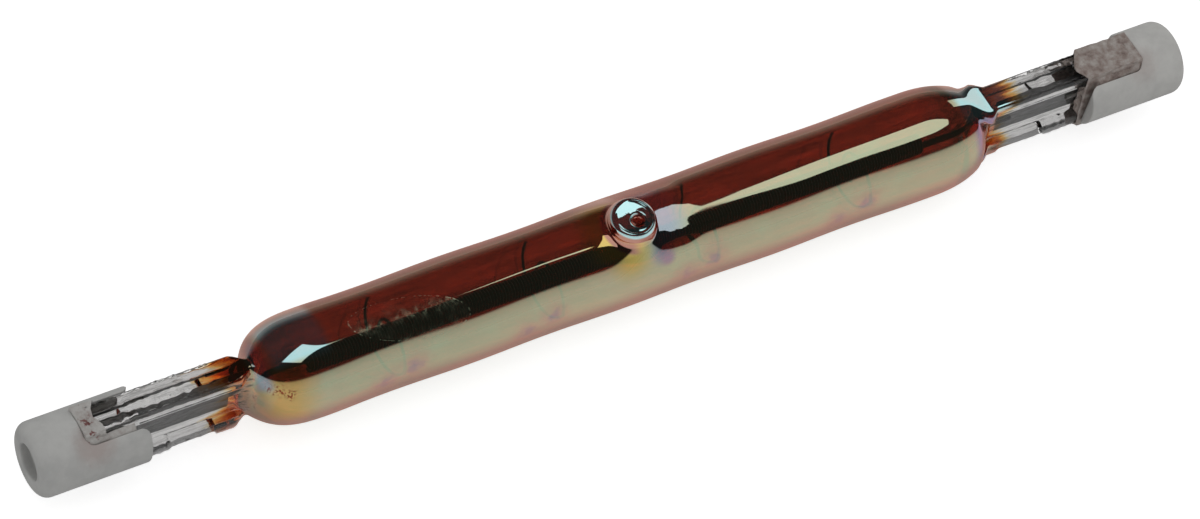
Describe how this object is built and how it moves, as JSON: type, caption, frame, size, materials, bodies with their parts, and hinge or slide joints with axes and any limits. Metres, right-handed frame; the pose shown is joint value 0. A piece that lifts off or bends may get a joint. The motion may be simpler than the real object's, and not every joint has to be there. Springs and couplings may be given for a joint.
{
  "type": "linear halogen bulb",
  "caption": "Linear halogen infrared lamp: ruby coated quartz tube with a melted tip, flat pinched ends with foil seals, a coiled filament and recessed-contact ceramic caps.",
  "frame": {"origin": "centre of the mouth of the left cap's contact recess", "axes": "+X along the lamp from the left cap to the right cap; +Z in the wide direction of the flat pinches, on the side of the melted tip, which leans from it towards -Y"},
  "size_m": [0.1176, 0.01, 0.0118],
  "materials": {
    "coated_quartz": "gloss, ruby and gold interference coat on the tube, clear on the pinches",
    "ceramic": "matt, unglazed white ceramic",
    "cement": "matt, fired cement with a pink brown stain",
    "contact_metal": "satin, dulled nickel plate",
    "tungsten": "satin, drawn wire",
    "molybdenum": "satin, rolled foil and wire"
  },
  "bodies": {
    "root": {"quartz_envelope": "coated_quartz", "filament_coil": "tungsten", "filament_support_1": "tungsten", "filament_support_2": "tungsten", "filament_support_3": "tungsten", "filament_support_4": "tungsten", "left_ceramic_cap": "ceramic", "left_contact": "contact_metal", "left_cement": "cement", "left_foil": "molybdenum", "left_outer_lead": "molybdenum", "left_inner_lead": "tungsten", "right_ceramic_cap": "ceramic", "right_contact": "contact_metal", "right_cement": "cement", "right_foil": "molybdenum", "right_outer_lead": "molybdenum", "right_inner_lead": "tungsten"}
  },
  "joints": []
}
